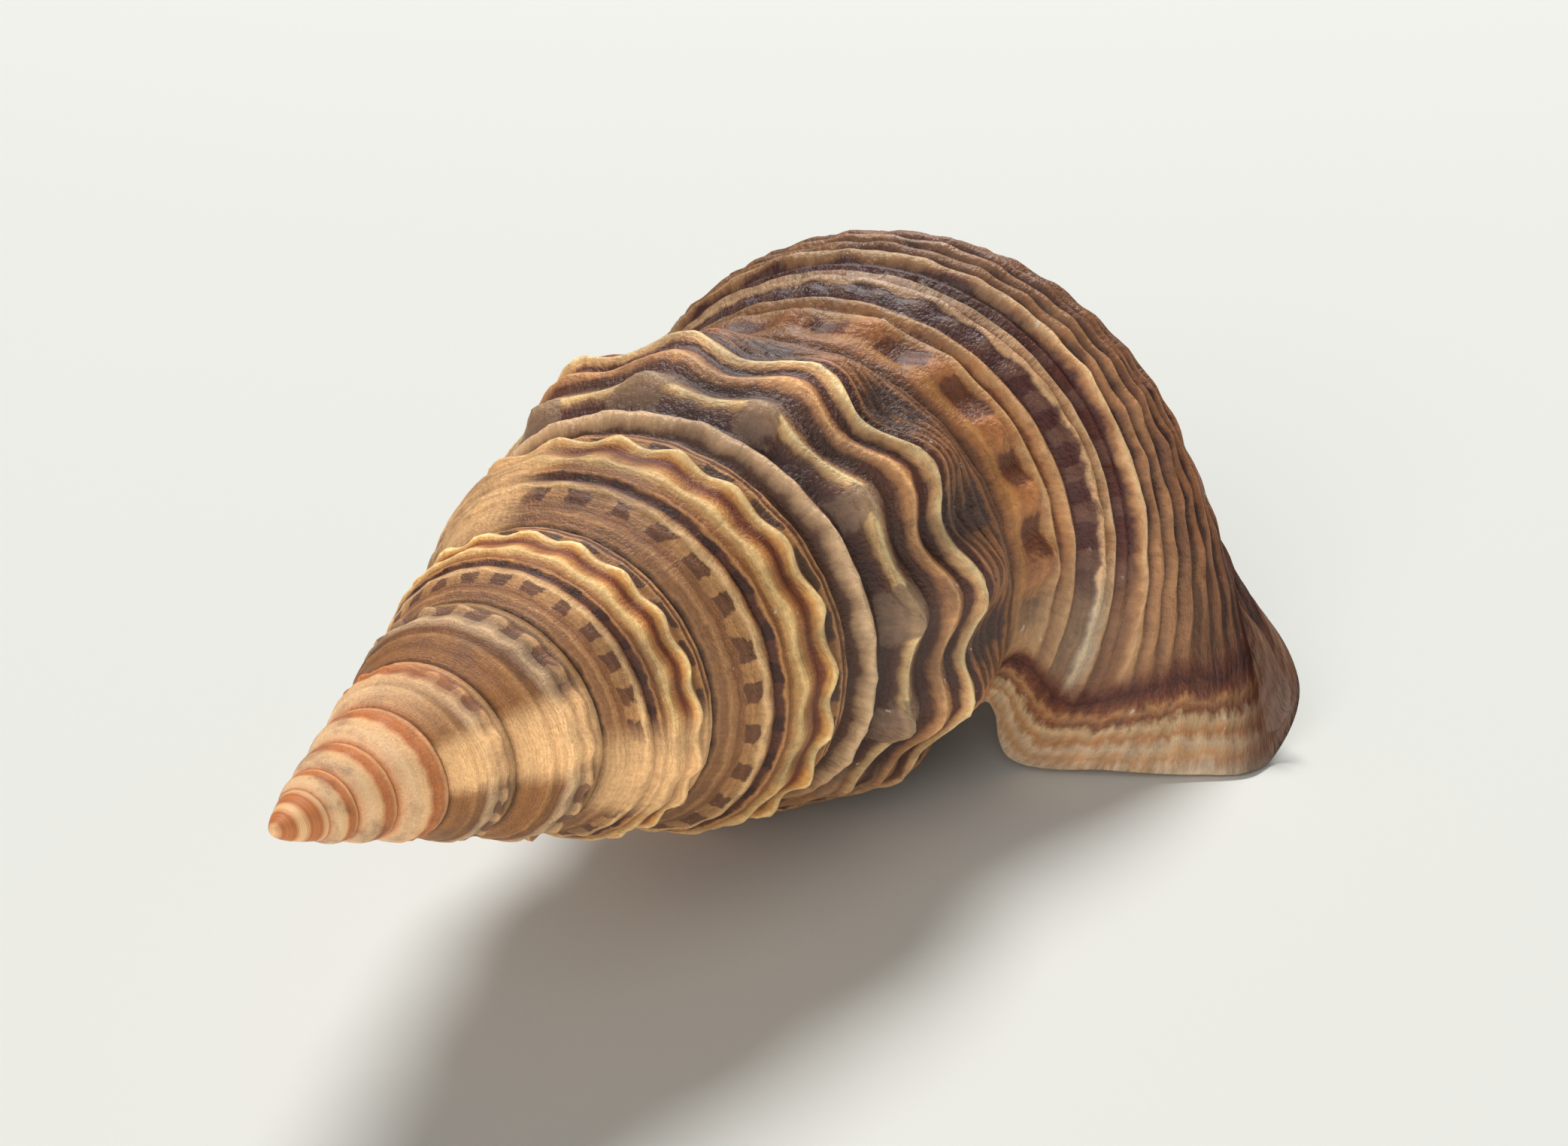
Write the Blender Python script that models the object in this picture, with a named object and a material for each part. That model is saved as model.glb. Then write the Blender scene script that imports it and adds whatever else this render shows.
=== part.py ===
import math

import bpy
import numpy as np

for old in list(bpy.data.objects):
    bpy.data.objects.remove(old, do_unlink=True)

# A cerith shell, grown in one piece, lying on its opening with the pointed end held clear of the surface.
# Lengths are in millimetres until the mesh is made. A turn counts once round the shell's own axis.
# "Down" is the distance along the axis from the cone's point, and "out" the distance from the axis.
# A share runs across one whorl, from 0 at its upper seam to 1 at its lower one, and on to 2 down the base.

# Growth of the spire
growth_per_turn = 1.36
seam_down_at_turn_0 = 11.70
seam_slope = 0.352
late_turn = 0.9
late_power = 1.3
late_stretch = 0.24
late_narrowing = 0.33
spire_whorls = 5.5
tip_down = 0.80
last_turn = 2.20
first_turn = last_turn - 1.0 - spire_whorls

# Roundness of the whorls, as shares of a whorl's width
spire_bulge = 0.10
body_bulge = 0.02
spire_low_set = 1.15
body_low_set = 0.25
body_from_turn = 1.20
body_full_turn = 1.70
body_widening = 0.45
body_lengthening = 0.75

# Columella and canal at the foot of the shell
canal_down = 35.6
columella_radius = 1.45
base_fullness = 1.30
base_steepness = 0.9

# Flared lip: share of the outline, then down, out and degrees round the axis
lip_points = (
    (0.00, 25.10, 6.75, 83.0),
    (0.12, 25.40, 7.25, 73.0),
    (0.20, 25.75, 7.75, 74.5),
    (0.28, 26.15, 8.40, 79.5),
    (0.35, 26.50, 8.95, 82.0),
    (0.60, 27.30, 11.30, 71.5),
    (0.85, 28.40, 13.40, 65.0),
    (1.05, 29.20, 14.55, 62.0),
    (1.20, 30.25, 14.80, 60.5),
    (1.40, 31.40, 14.20, 52.5),
    (1.60, 33.20, 11.40, 48.0),
    (1.80, 34.70, 7.40, 50.0),
    (2.00, 35.80, 3.00, 62.0),
)
lip_whole_turns = 2
flare_turns = 0.30
flare_power = 3.0

# Raised spiral cords: shares of a whorl, and heights there on the beaded, the folded and the last whorl
cord_places = (0.0, 0.10, 0.22, 0.32, 0.41, 0.54, 0.68, 0.79, 0.89, 1.0)
beaded_cord_heights = (-0.020, 0.010, -0.006, 0.014, -0.016, 0.018, 0.004, 0.034, -0.014, -0.027)
folded_cord_heights = (-0.020, 0.026, -0.016, 0.006, -0.008, 0.026, 0.002, 0.004, -0.008, -0.027)
last_cord_heights = (-0.020, 0.008, 0.018, -0.010, 0.018, -0.012, 0.020, -0.014, 0.016, -0.012)
base_cord_height = 0.016
base_cords_end = 2.2
base_cords_fading = 0.5
base_cords_down = 0.6
base_cords_out = 0.8
folded_from_turn = 0.45
folded_full_turn = 0.75
last_from_turn = 1.18
last_full_turn = 1.32
worn_turns = 2.5
lip_fading = 0.6
lip_fading_turns = 0.12

# Nodules and folds
nodules_per_turn = 20
nodule_height = 0.030
nodule_share = 0.78
nodule_half_share = 0.10
last_nodule_height = 0.021
last_nodule_share = 0.14
last_nodule_half_share = 0.08
waves_per_turn = 12
wave_shift = 0.038
wave_from_share = 0.20
wave_shares = 0.75
fold_height = 0.024
fold_from_share = 0.10
fold_shares = 0.85

# Varices, and the flatter shoulder of the last whorl
varix_turns = (-2.93, -1.92, -0.84, -0.25, 0.77)
varix_height = 0.045
varix_half_turn = 0.055
varix_evenness = 0.7
underside_varix_turn = 1.38
underside_varix_height = 0.13
underside_varix_share = 0.30
underside_varix_half_share = 0.22
flat_shoulder_turn = 1.64
flat_shoulder_half_turn = 0.22
flat_shoulder_share = 0.35
flat_shoulder_half_share = 0.45
flat_shoulder_depth = 0.110

# Opening
lip_thickness = 0.60
wall_thickness = 0.85
opening_turns = 0.30
opening_rings = 8
opening_narrowing = 0.25
least_reach = 0.35
foot_rounding = 0.5
tip_roundness = 0.6

# How the shell lies
roll_degrees = 122.52
pitch_degrees = 6.15

# Mesh divisions
tip_rings = 5
columns_per_turn = 60
cord_rows = (0.0, 0.10, 0.22, 0.32, 0.41, 0.54, 0.68, 0.79, 0.89)
base_rows = 12

# Look
shell_brown = (0.36, 0.20, 0.10, 1.0)
satin_roughness = 0.38


def smooth_step(x, low, high):
    q = np.clip((x - low) / (high - low), 0.0, 1.0)
    return q * q * (3.0 - 2.0 * q)


def hump(x, middle, half_width):
    return np.exp(-((x - middle) / half_width) ** 2)


def seam(turn):
    late = np.maximum(0.0, turn - late_turn) ** late_power
    size = math.log(growth_per_turn)
    down = seam_down_at_turn_0 * np.exp(size * (turn + late_stretch * late))
    out = seam_down_at_turn_0 * seam_slope * np.exp(size * (turn - late_narrowing * late))
    return down, out


def next_seam(turn):
    down, out = seam(np.minimum(turn + 1.0, last_turn))
    past = np.maximum(turn + 1.0 - last_turn, 0.0)
    last_width = seam(last_turn)[0] - seam(last_turn - 1.0)[0]
    free_down = seam(turn)[0] + last_width * growth_per_turn ** (body_lengthening * past)
    free_out = out * growth_per_turn ** (body_widening * past)
    return np.where(past > 0.0, free_down, down), np.where(past > 0.0, free_out, out)


def folded_part(turn):
    last = smooth_step(turn, last_from_turn, last_full_turn)
    return smooth_step(turn, folded_from_turn, folded_full_turn) * (1.0 - last)


def cord_height(turn, share):
    # Height of the cords, nodules, folds and varices above the smooth whorl, as a share of its width
    folded = folded_part(turn)
    last = smooth_step(turn, last_from_turn, last_full_turn)
    early = 1.0 - folded - last
    cords = early * np.interp(share, cord_places, beaded_cord_heights)
    cords = cords + folded * np.interp(share, cord_places, folded_cord_heights)
    fading = np.clip((base_cords_end - share) / base_cords_fading, 0.0, 1.0)
    base_cords = -np.cos(math.pi * (share - 1.0) * base_rows) * fading
    last_cords = np.interp(share, cord_places, last_cord_heights)
    cords = cords + last * np.where(share > 1.0, base_cord_height * base_cords, last_cords)
    beat = np.cos(2.0 * math.pi * nodules_per_turn * turn)
    cords = cords + nodule_height * beat * hump(share, nodule_share, nodule_half_share) * early
    last_nodules = hump(share, last_nodule_share, last_nodule_half_share)
    cords = cords + last_nodule_height * beat * last_nodules * last
    wave = np.cos(2.0 * math.pi * waves_per_turn * turn)
    across_folds = np.clip((share - fold_from_share) / fold_shares, 0.0, 1.0)
    cords = cords + fold_height * wave * folded * np.sin(math.pi * across_folds)
    worn = smooth_step(turn, first_turn, first_turn + worn_turns)
    fade_at_lip = 1.0 - lip_fading * smooth_step(turn, last_turn - lip_fading_turns, last_turn)
    swelling = np.zeros_like(cords)
    for place in varix_turns:
        swelling = swelling + varix_height * hump(turn, place, varix_half_turn)
    swelling = swelling * np.sin(math.pi * np.clip(share, 0.0, 1.0)) ** varix_evenness
    underside = hump(turn, underside_varix_turn, varix_half_turn)
    underside = underside * hump(share, underside_varix_share, underside_varix_half_share)
    shoulder = hump(turn, flat_shoulder_turn, flat_shoulder_half_turn)
    shoulder = shoulder * hump(share, flat_shoulder_share, flat_shoulder_half_share)
    swelling = swelling + underside_varix_height * underside - flat_shoulder_depth * shoulder
    return cords * worn * fade_at_lip + swelling


def smooth_through(points, column, share):
    # A smooth curve through the lip points, with the slope at each taken from its neighbours
    places = np.array([point[0] for point in points])
    values = np.array([point[column] for point in points])
    slopes = np.gradient(values, places)
    index = np.clip(np.searchsorted(places, share, side="right") - 1, 0, len(places) - 2)
    gap = places[index + 1] - places[index]
    q = (share - places[index]) / gap
    start = (2 * q ** 3 - 3 * q ** 2 + 1) * values[index] + (q ** 3 - 2 * q ** 2 + q) * gap * slopes[index]
    end = (3 * q ** 2 - 2 * q ** 3) * values[index + 1] + (q ** 3 - q ** 2) * gap * slopes[index + 1]
    return start + end


def whorl(turn, share):
    down, out = seam(turn)
    next_down, next_out = next_seam(turn)
    width = np.hypot(next_down - down, next_out - out)
    along_down = (next_down - down) / width
    along_out = (next_out - out) / width
    on_whorl = np.minimum(share, 1.0)
    body = smooth_step(turn, body_from_turn, body_full_turn)
    low_set = spire_low_set + body_low_set * body
    bulge = (spire_bulge + body_bulge * body) * np.sin(math.pi * on_whorl ** low_set)
    wave = wave_shift * folded_part(turn) * np.cos(2.0 * math.pi * waves_per_turn * turn)
    across_wave = np.clip((share - wave_from_share) / wave_shares, 0.0, 1.0)
    wave = wave * np.sin(math.pi * across_wave)
    relief = cord_height(turn, share)
    height = bulge + relief
    step_down = next_down - down
    step_out = next_out - out
    side_down = down + (on_whorl + wave) * step_down - height * width * along_out
    side_out = out + (on_whorl + wave) * step_out + height * width * along_down
    under = np.clip(share - 1.0, 0.0, 1.0)
    base_down = next_down + (canal_down - next_down) * under ** base_steepness
    base_out = columella_radius + (next_out - columella_radius) * (1.0 - under ** base_fullness)
    base_down = base_down + base_cords_down * relief * width
    base_out = base_out + base_cords_out * relief * width
    below = share > 1.0
    return np.where(below, base_down, side_down), np.where(below, base_out, side_out)


def shell_point(turn, share):
    # Returns down, out and degrees round the axis, with the flare of the lip drawn in
    down, out = whorl(turn, share)
    degrees = 360.0 * turn
    edge_down, edge_out = whorl(last_turn + 0.0 * turn, share)
    flare = np.clip((turn - last_turn + flare_turns) / flare_turns, 0.0, 1.0) ** flare_power
    down = down + flare * (smooth_through(lip_points, 1, share) - edge_down)
    out = out + flare * (smooth_through(lip_points, 2, share) - edge_out)
    lip_degrees = smooth_through(lip_points, 3, share) + 360.0 * lip_whole_turns
    degrees = degrees + flare * (lip_degrees - 360.0 * last_turn)
    return np.array([down, out, degrees])


def to_space(point):
    down, out, degrees = point
    angle = math.radians(degrees)
    return (down, out * math.cos(angle), out * math.sin(angle))


points = []
faces = []


def add_point(point):
    points.append(to_space(point))
    return len(points) - 1


def join_rows(first, second):
    for i in range(len(first) - 1):
        faces.append((first[i], first[i + 1], second[i + 1]))
        faces.append((first[i], second[i + 1], second[i]))


# Spire and last whorl: columns of points from seam to seam, each whorl sharing the seam of the one below
spire_columns = round(columns_per_turn * spire_whorls)
column_turns = first_turn + np.arange(spire_columns + columns_per_turn + 1) / columns_per_turn
base_shares = 1.0 + np.arange(1, base_rows + 1) / base_rows
columns = []
for turn in column_turns:
    columns.append([add_point(shell_point(turn, share)) for share in cord_rows])
for i in range(spire_columns + 1):
    columns[i] = columns[i] + [columns[i + columns_per_turn][0]]
for i in range(spire_columns + 1, len(columns)):
    columns[i] = columns[i] + [add_point(shell_point(column_turns[i], 1.0))]

# Base of the last whorl: the same columns carried on down to the columella
for i in range(spire_columns, len(columns)):
    columns[i] = columns[i] + [add_point(shell_point(column_turns[i], share)) for share in base_shares]
for i in range(len(columns) - 1):
    rows = min(len(columns[i]), len(columns[i + 1]))
    join_rows(columns[i][:rows], columns[i + 1][:rows])


def join_loops(first, second):
    for i in range(len(first)):
        after = (i + 1) % len(first)
        faces.append((first[i], first[after], second[after]))
        faces.append((first[i], second[after], second[i]))


def close_loop(loop, middle):
    points.append(middle)
    for i in range(len(loop)):
        faces.append((loop[i], loop[(i + 1) % len(loop)], len(points) - 1))


# Worn, rounded tip over the first column and the first turn of the seam
rim = [columns[i][0] for i in range(columns_per_turn)] + columns[0][:0:-1]
outer_loop = rim
for k in range(1, tip_rings):
    way = k / tip_rings
    inner_loop = []
    for index in rim:
        down, side, front = points[index]
        shrink = (1.0 - way) ** tip_roundness
        points.append((tip_down + (down - tip_down) * (1.0 - way), side * shrink, front * shrink))
        inner_loop.append(len(points) - 1)
    join_loops(outer_loop, inner_loop)
    outer_loop = inner_loop
close_loop(outer_loop, (tip_down, 0.0, 0.0))

# End of the columella
foot = [columns[i][-1] for i in range(len(columns) - 1, spire_columns - 1, -1)]
close_loop(foot, (canal_down + foot_rounding, 0.0, 0.0))


def opening_loop(way):
    # One section of the hollow: the inside of the outer wall, then back up beside the columella
    turn = last_turn - opening_turns * way
    outer_shares = list(cord_rows) + [1.0] + list(base_shares)
    section = []
    for share in outer_shares:
        section.append(shell_point(turn, share * (1.0 - opening_narrowing * way * share / 2.0)))
    for share in base_shares[::-1]:
        section.append(shell_point(turn - 1.0, 1.0 + (share - 1.0) * (1.0 - opening_narrowing * way)))
    middle = sum(section) / len(section)
    thickness = lip_thickness + (wall_thickness - lip_thickness) * way
    loop = []
    for point in section:
        reach = math.hypot(point[0] - middle[0], point[1] - middle[1])
        keep = max(least_reach, 1.0 - thickness / reach)
        down = middle[0] + (point[0] - middle[0]) * keep
        out = middle[1] + (point[1] - middle[1]) * keep
        loop.append(add_point((down, out, point[2])))
    return loop, middle


# Opening: over the lip's edge and up inside the last whorl to where the hollow is closed
outer_loop = columns[-1] + columns[spire_columns][:len(cord_rows):-1]
for k in range(opening_rings):
    inner_loop, middle = opening_loop(k / (opening_rings - 1))
    join_loops(outer_loop, inner_loop)
    outer_loop = inner_loop
close_loop(outer_loop, to_space(middle))

# Lay the shell down: roll about its own axis, pitch the foot down, then set it on the surface
points = np.array(points)
roll = math.radians(-90.0 - roll_degrees)
pitch = math.radians(pitch_degrees)
turn_roll = np.array([
    [1.0, 0.0, 0.0],
    [0.0, math.cos(roll), -math.sin(roll)],
    [0.0, math.sin(roll), math.cos(roll)],
])
turn_pitch = np.array([
    [math.cos(pitch), 0.0, math.sin(pitch)],
    [0.0, 1.0, 0.0],
    [-math.sin(pitch), 0.0, math.cos(pitch)],
])
points = points @ (turn_pitch @ turn_roll).T
low = points.min(axis=0)
high = points.max(axis=0)
points = points - np.array([(low[0] + high[0]) / 2.0, (low[1] + high[1]) / 2.0, low[2]])

mesh = bpy.data.meshes.new("cerith_shell")
mesh.from_pydata((points / 1000.0).tolist(), [], [face[::-1] for face in faces])
mesh.validate()
mesh.update()
for polygon in mesh.polygons:
    polygon.use_smooth = True
shell = bpy.data.objects.new("cerith_shell", mesh)
bpy.context.scene.collection.objects.link(shell)

shell_material = bpy.data.materials.new("banded_shell")
shell_material.use_nodes = True
surface = shell_material.node_tree.nodes["Principled BSDF"]
surface.inputs["Base Color"].default_value = shell_brown
surface.inputs["Roughness"].default_value = satin_roughness
surface.inputs["Metallic"].default_value = 0.0
mesh.materials.append(shell_material)
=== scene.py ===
import math

import bpy
import numpy as np
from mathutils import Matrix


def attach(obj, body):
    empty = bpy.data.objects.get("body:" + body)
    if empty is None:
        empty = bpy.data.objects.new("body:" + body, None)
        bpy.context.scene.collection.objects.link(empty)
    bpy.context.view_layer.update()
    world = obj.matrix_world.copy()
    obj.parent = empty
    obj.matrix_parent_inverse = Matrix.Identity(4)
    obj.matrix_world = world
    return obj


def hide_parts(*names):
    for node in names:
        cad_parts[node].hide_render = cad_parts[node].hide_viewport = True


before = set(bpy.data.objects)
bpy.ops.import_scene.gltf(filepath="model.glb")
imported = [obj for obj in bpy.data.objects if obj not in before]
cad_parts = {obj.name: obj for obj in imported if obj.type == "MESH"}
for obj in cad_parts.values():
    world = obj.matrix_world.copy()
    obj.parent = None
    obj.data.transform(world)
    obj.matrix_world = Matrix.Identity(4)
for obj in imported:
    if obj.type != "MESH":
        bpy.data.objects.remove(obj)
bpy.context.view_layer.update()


# The shell: calcium carbonate laid down by the snail in one piece, as a tube wound round its axis to the
# right, from a worn tip to a flared lip. It lies on its opening. Lengths are millimetres: "down" runs along
# the axis, "out" away from it, a "turn" is once round, and a "share" crosses a whorl from seam to seam.
growth_per_turn = 1.36
seam_down_at_turn_0 = 11.70
seam_slope = 0.352
late_turn, late_power, late_stretch, late_narrowing = 0.9, 1.3, 0.24, 0.33
last_whorl_lengthening, last_whorl_widening = 0.75, 0.45
first_turn, last_turn = -6.5, 2.20


def smooth_step(x, low, high):
    q = np.clip((x - low) / (high - low), 0.0, 1.0)
    return q * q * (3.0 - 2.0 * q)


def hump(x, place, half_width):
    return np.exp(-((x - place) / half_width) ** 2)


def seam(turn):
    late = np.maximum(0.0, turn - late_turn) ** late_power
    size = math.log(growth_per_turn)
    down = seam_down_at_turn_0 * np.exp(size * (turn + late_stretch * late))
    out = seam_down_at_turn_0 * seam_slope * np.exp(size * (turn - late_narrowing * late))
    return down, out


def next_seam(turn):
    # Under the last whorl no further seam was laid down, so its width is carried on by itself
    down, out = seam(np.minimum(turn + 1.0, last_turn))
    past = np.maximum(turn + 1.0 - last_turn, 0.0)
    last_width = seam(last_turn)[0] - seam(last_turn - 1.0)[0]
    free_down = seam(turn)[0] + last_width * growth_per_turn ** (last_whorl_lengthening * past)
    free_out = out * growth_per_turn ** (last_whorl_widening * past)
    return np.where(past > 0.0, free_down, down), np.where(past > 0.0, free_out, out)


# The young whorls are beaded, the last but one is thrown into wavy folds, the last has close plain cords.
# Each change comes in between two turns.
folded_from, folded_full = 0.45, 0.75
last_from, last_full = 1.18, 1.32

# Cords laid down as the shell grew: each row is place, half width and height, as shares of a whorl's width
beaded_cords = (
    (0.10, 0.060, 0.012), (0.235, 0.028, 0.012), (0.31, 0.030, 0.017), (0.385, 0.022, -0.016),
    (0.44, 0.020, 0.012), (0.54, 0.040, 0.024), (0.685, 0.030, -0.016),
    (0.778, 0.036, 0.036), (0.855, 0.022, -0.016), (0.905, 0.016, 0.010), (0.965, 0.014, 0.008),
)
folded_cords = (
    (0.025, 0.014, -0.010), (0.078, 0.030, 0.036), (0.150, 0.030, -0.020), (0.25, 0.030, 0.018),
    (0.345, 0.028, -0.016), (0.425, 0.032, 0.018), (0.50, 0.018, -0.010), (0.565, 0.030, 0.028),
    (0.625, 0.012, -0.007), (0.66, 0.018, 0.010),
)
last_cords = (
    (0.05, 0.040, 0.008), (0.125, 0.045, 0.016), (0.19, 0.020, 0.013), (0.225, 0.010, -0.008),
    (0.26, 0.020, 0.013), (0.29, 0.009, -0.010), (0.33, 0.030, 0.007), (0.375, 0.014, 0.016),
    (0.396, 0.007, -0.008), (0.415, 0.014, 0.015), (0.445, 0.010, -0.012), (0.468, 0.012, 0.008),
    (0.492, 0.010, -0.012), (0.53, 0.028, 0.021), (0.575, 0.010, -0.014), (0.607, 0.016, 0.014),
    (0.642, 0.010, -0.013), (0.675, 0.016, 0.016), (0.712, 0.010, -0.014), (0.748, 0.018, 0.016),
    (0.79, 0.011, -0.014),
)
last_cord_strength = 1.35
base_cord_place, base_cord_step, base_cord_height = 0.835, 0.085, 0.018
base_cords_begin, base_cords_end = (0.80, 0.84), (1.5, 1.9)
base_cord_least, base_cord_variation = 0.8, 0.4

# Nodules and beads ride on the cords in the same kind of rows, and come and go with the turn
nodules_per_turn, nodule_unevenness = 20, 0.12
beads_per_turn, last_beads_per_turn = 25.0, 44.0
young_nodules = ((0.78, 0.07, 0.024), (0.58, 0.05, 0.012))
young_beads = ((0.31, 0.035, 0.007), (0.235, 0.03, -0.006))
last_nodules = ((0.125, 0.060, 0.022),)
last_beads = ((0.33, 0.030, 0.005),)
ripples_per_turn, ripple_height, ripples_begin, ripples_end = 36.0, 0.004, (0.5, 0.6), 1.4

# Folds across the last whorl but one: a pebble on each crest, a hollow between, and threads below. Its
# cords sway up and down with the folds, as those of the young whorls do with their nodules.
folds_per_turn, fold_height, fold_from, fold_length = 12, 0.024, 0.1, 0.85
pebble_place, pebble_half, pebble_height, pebble_sharpness = 0.235, 0.060, 0.034, 1.5
hollow_place, hollow_half, hollow_depth = 0.77, 0.10, 0.016
thread_place, thread_step, thread_height = 0.735, 0.060, 0.007
threads_begin, threads_end = (0.66, 0.72), (0.93, 0.99)
sway, sway_from, sway_length = 0.038, 0.2, 0.75
nodule_sway, nodule_sway_place, nodule_sway_half = 0.015, 0.70, 0.16

# Varices are swellings left where growth paused. One more lies on the underside, and the last whorl has a
# flatter shoulder. The tip is worn smooth, and the cords fade towards the lip, which ends in thin layers.
varix_turns = (-2.93, -1.92, -0.84, -0.25, 0.77)
varix_height, varix_half_turn, varix_evenness = 0.045, 0.055, 0.7
under_varix_turn, under_varix_place, under_varix_half, under_varix_height = 1.38, 0.30, 0.22, 0.13
shoulder_turn, shoulder_half_turn, shoulder_depth = 1.64, 0.22, 0.110
shoulder_place, shoulder_half = 0.35, 0.45
upper_groove_depth, lower_groove_depth, groove_half = 0.012, 0.0163, 0.018
bare_turns, worn_turns = 1.0, 4.5
lip_fading, lip_fading_turns, lip_faded_turns = 0.62, 0.11, 0.02
layer_turn, layer_step, layer_height = 2.165, 0.0090, 0.004
layers_begin, layers_from_share = (2.150, 2.170), 0.08


def unevenness(turn, share, scale):
    # Slow, irregular swelling, as no two beads grow alike
    a = np.sin(scale * (5.1 * turn + 2.3 * share) + 1.0) + np.sin(scale * (8.7 * turn - 3.9 * share) + 2.6)
    b = np.sin(scale * (13.3 * turn + 7.1 * share) + 0.4) + np.sin(scale * (21.7 * turn - 11.9 * share) + 4.2)
    return (a + 0.6 * b) / 3.2


def stages(turn):
    last = smooth_step(turn, last_from, last_full)
    folded = smooth_step(turn, folded_from, folded_full) * (1.0 - last)
    return 1.0 - folded - last, folded, last


def raised(share, rows):
    return sum(height * hump(share, place, half) for place, half, height in rows)


def beat_along(turn, per_turn):
    return np.cos(2.0 * math.pi * per_turn * turn)


def cord_height(turn, share):
    # All that stands above or below the smooth whorl, as a share of the whorl's width
    early, folded, last = stages(turn)
    uneven_beats = nodules_per_turn * turn + nodule_unevenness * unevenness(turn, 0.0 * share, 3.0)
    nodule_beat = np.cos(2.0 * math.pi * uneven_beats)
    young = raised(share, beaded_cords) + nodule_beat * raised(share, young_nodules)
    young = young + beat_along(turn, beads_per_turn) * raised(share, young_beads)

    fold = beat_along(turn, folds_per_turn)
    across_fold = np.sin(math.pi * np.clip((share - fold_from) / fold_length, 0.0, 1.0))
    threads = thread_height * np.cos(2.0 * math.pi * (share - thread_place) / thread_step)
    threads = threads * smooth_step(share, *threads_begin) * (1.0 - smooth_step(share, *threads_end))
    pebbles = pebble_height * np.maximum(fold, 0.0) ** pebble_sharpness
    pebbles = pebbles * hump(share, pebble_place, pebble_half)
    hollows = hollow_depth * (1.0 - fold) * hump(share, hollow_place, hollow_half)
    middle = raised(share, folded_cords) + threads + pebbles + fold_height * fold * across_fold - hollows

    old = last_cord_strength * raised(share, last_cords)
    base = base_cord_height * np.cos(2.0 * math.pi * (share - base_cord_place) / base_cord_step)
    base = base * smooth_step(share, *base_cords_begin) * (1.0 - smooth_step(share, *base_cords_end))
    old = old + base * (base_cord_least + base_cord_variation * unevenness(turn, share, 9.0))
    old = old + nodule_beat * raised(share, last_nodules)
    old = old + beat_along(turn, last_beads_per_turn) * raised(share, last_beads)
    ripples = ripple_height * beat_along(turn, ripples_per_turn) * smooth_step(share, *ripples_begin)
    old = old + ripples * (share < ripples_end)

    worn = smooth_step(turn, first_turn + bare_turns, first_turn + worn_turns)
    cords = (early * young + folded * middle + last * old) * worn
    cords = cords - upper_groove_depth * hump(share, 0.0, groove_half)
    cords = cords - lower_groove_depth * hump(share, 1.0, groove_half) * (early + folded)
    rough = 1.0 + 0.22 * unevenness(turn, share, 5.0) + 0.30 * unevenness(turn, 0.6 * share, 19.0)
    fading = lip_fading * smooth_step(turn, last_turn - lip_fading_turns, last_turn - lip_faded_turns)
    cords = cords * rough * (1.0 - fading)

    swelling = sum(varix_height * hump(turn, place, varix_half_turn) for place in varix_turns)
    swelling = swelling * np.sin(math.pi * np.clip(share, 0.0, 1.0)) ** varix_evenness
    under_varix = hump(turn, under_varix_turn, varix_half_turn)
    under_varix = under_varix * hump(share, under_varix_place, under_varix_half)
    shoulder = hump(turn, shoulder_turn, shoulder_half_turn) * hump(share, shoulder_place, shoulder_half)
    swelling = swelling + under_varix_height * under_varix - shoulder_depth * shoulder
    layers = layer_height * np.cos(2.0 * math.pi * (turn - layer_turn) / layer_step)
    layers = layers * smooth_step(turn, *layers_begin) * (share > layers_from_share)
    return cords + swelling + layers


# The whorl under its cords: a low bulge from seam to seam, fuller on the last whorl, and below that the
# base, which draws in to the columella
bulge_height, bulge_lowness = 0.10, 1.15
last_bulge_height, last_bulge_lowness, last_bulge_turns = 0.02, 0.25, 0.5
canal_down = 35.6
columella_radius = 1.45
base_fullness, base_steepness = 1.30, 0.9
base_cords_down, base_cords_out = 0.6, 0.8


def whorl(turn, share):
    down, out = seam(turn)
    next_down, next_out = next_seam(turn)
    width = np.hypot(next_down - down, next_out - out)
    on_whorl = np.minimum(share, 1.0)
    body = smooth_step(turn, last_turn - 1.0, last_turn - last_bulge_turns)
    bulge = np.sin(math.pi * on_whorl ** (bulge_lowness + last_bulge_lowness * body))
    bulge = (bulge_height + last_bulge_height * body) * bulge
    early, folded, _ = stages(turn)
    wave = sway * folded * beat_along(turn, folds_per_turn)
    wave = wave * np.sin(math.pi * np.clip((share - sway_from) / sway_length, 0.0, 1.0))
    nodule_wave = nodule_sway * early * beat_along(turn, nodules_per_turn)
    wave = wave + nodule_wave * hump(share, nodule_sway_place, nodule_sway_half)
    relief = cord_height(turn, share)
    height = (bulge + relief) * width
    along_down = (next_down - down) / width
    along_out = (next_out - out) / width
    side_down = down + (on_whorl + wave) * (next_down - down) - height * along_out
    side_out = out + (on_whorl + wave) * (next_out - out) + height * along_down
    under = np.clip(share - 1.0, 0.0, 1.0)
    base_down = next_down + (canal_down - next_down) * under ** base_steepness
    base_down = base_down + base_cords_down * relief * width
    base_out = columella_radius + (next_out - columella_radius) * (1.0 - under ** base_fullness)
    base_out = base_out + base_cords_out * relief * width
    below = share > 1.0
    return np.where(below, base_down, side_down), np.where(below, base_out, side_out)


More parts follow.
